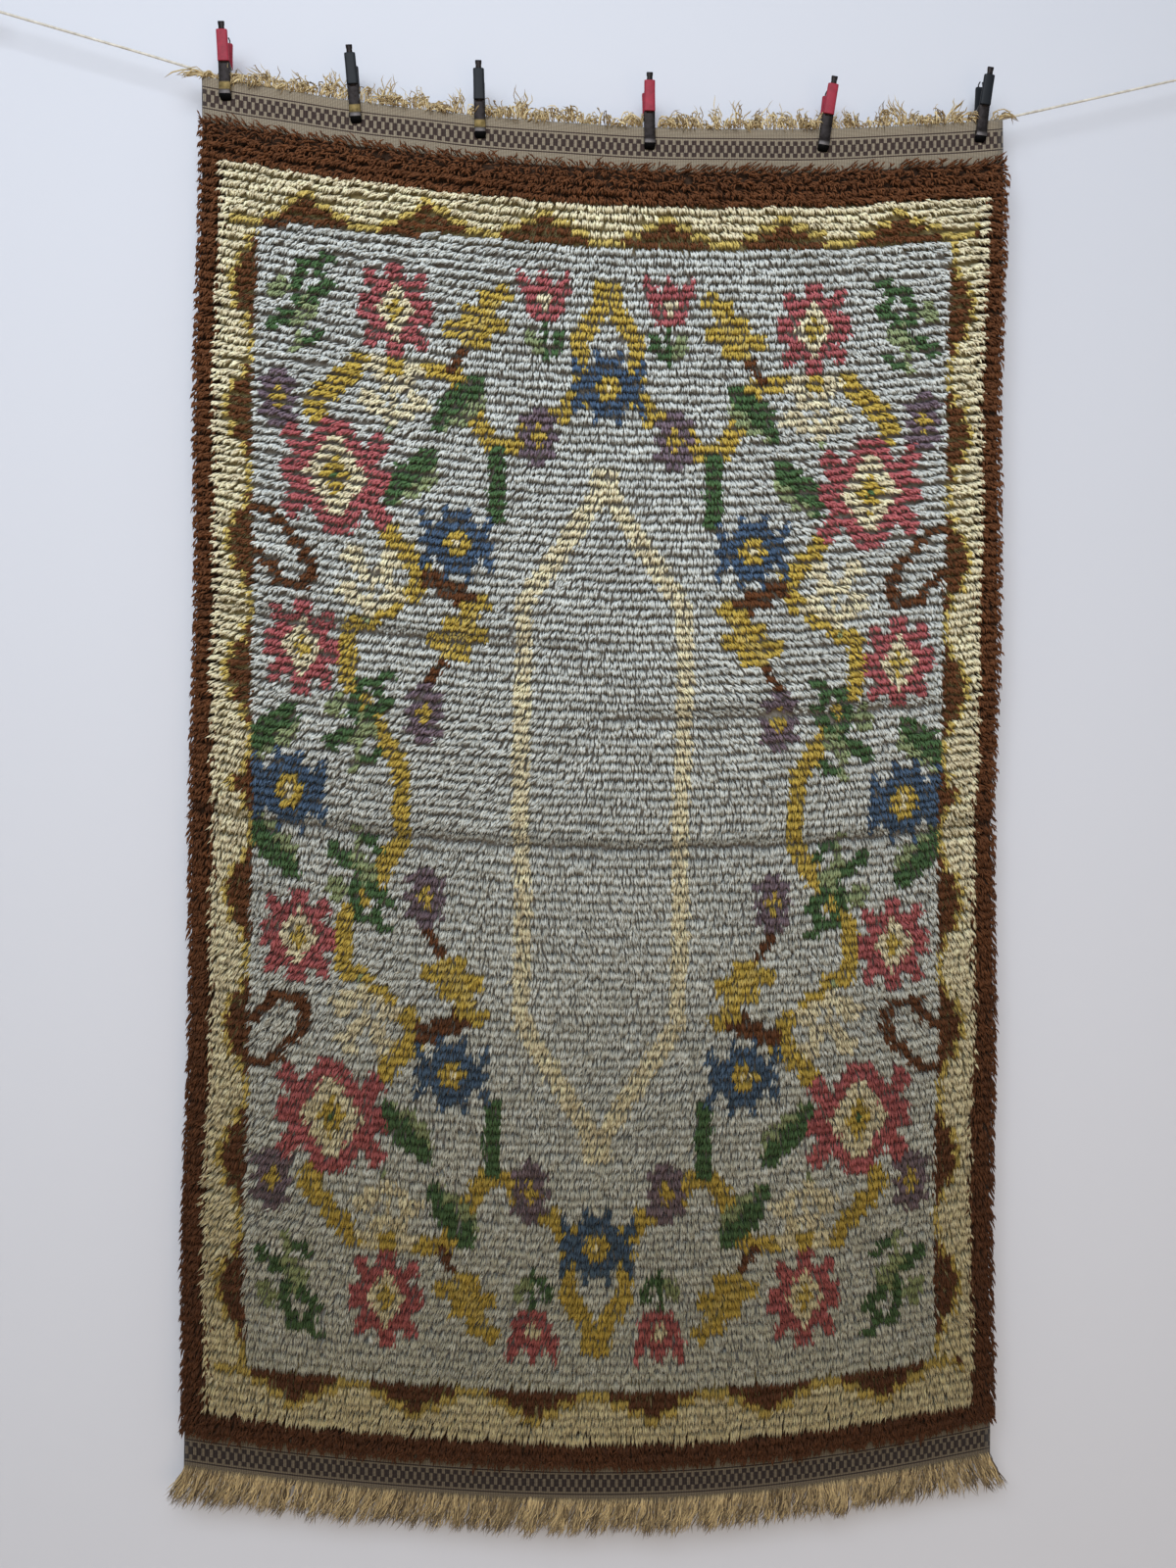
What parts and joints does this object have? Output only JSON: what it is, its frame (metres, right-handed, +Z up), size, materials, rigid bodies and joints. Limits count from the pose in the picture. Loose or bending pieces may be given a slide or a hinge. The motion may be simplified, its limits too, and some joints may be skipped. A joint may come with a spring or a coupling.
{
  "type": "rya rug hung by clips from a line",
  "caption": "Shaggy hand-knotted rya rug with a stepped border and fringed ends, hung face on from a taut line by crocodile clips along its top edge.",
  "frame": {"origin": "middle of the loop tied in the line's left end, left as seen from the front", "axes": "+Z up, along the rug's length; +X to the right as seen from the front; the rug faces -Y, and its thickness is along Y"},
  "size_m": [1.804, 0.0442, 2.1874],
  "materials": {
    "ground_weave": "matte, plain-woven wool and linen",
    "pile": "matte, shaggy wool yarn",
    "warp_fringe": "matte, spun linen warp",
    "line": "matte, twisted cord",
    "clip_steel": "dulled, worn to brass at the jaw",
    "spring_steel": "satin",
    "sleeve_red": "soft vinyl, slight gloss",
    "sleeve_black": "soft vinyl, slight gloss"
  },
  "bodies": {
    "root": {"ground_weave": "ground_weave", "pile": "pile", "fringe_top": "warp_fringe", "fringe_bottom": "warp_fringe", "line": "line", "line_loop_left": "line", "line_loop_right": "line", "clip_1_front_leg": "clip_steel", "clip_1_front_sleeve": "sleeve_red", "clip_1_back_leg": "clip_steel", "clip_1_back_sleeve": "sleeve_red", "clip_1_spring": "spring_steel", "clip_2_front_leg": "clip_steel", "clip_2_front_sleeve": "sleeve_black", "clip_2_back_leg": "clip_steel", "clip_2_back_sleeve": "sleeve_black", "clip_2_spring": "spring_steel", "clip_3_front_leg": "clip_steel", "clip_3_front_sleeve": "sleeve_black", "clip_3_back_leg": "clip_steel", "clip_3_back_sleeve": "sleeve_black", "clip_3_spring": "spring_steel", "clip_4_front_leg": "clip_steel", "clip_4_front_sleeve": "sleeve_red", "clip_4_back_leg": "clip_steel", "clip_4_back_sleeve": "sleeve_red", "clip_4_spring": "spring_steel", "clip_5_front_leg": "clip_steel", "clip_5_front_sleeve": "sleeve_red", "clip_5_back_leg": "clip_steel", "clip_5_back_sleeve": "sleeve_red", "clip_5_spring": "spring_steel", "clip_6_front_leg": "clip_steel", "clip_6_front_sleeve": "sleeve_black", "clip_6_back_leg": "clip_steel", "clip_6_back_sleeve": "sleeve_black", "clip_6_spring": "spring_steel"}
  },
  "joints": []
}
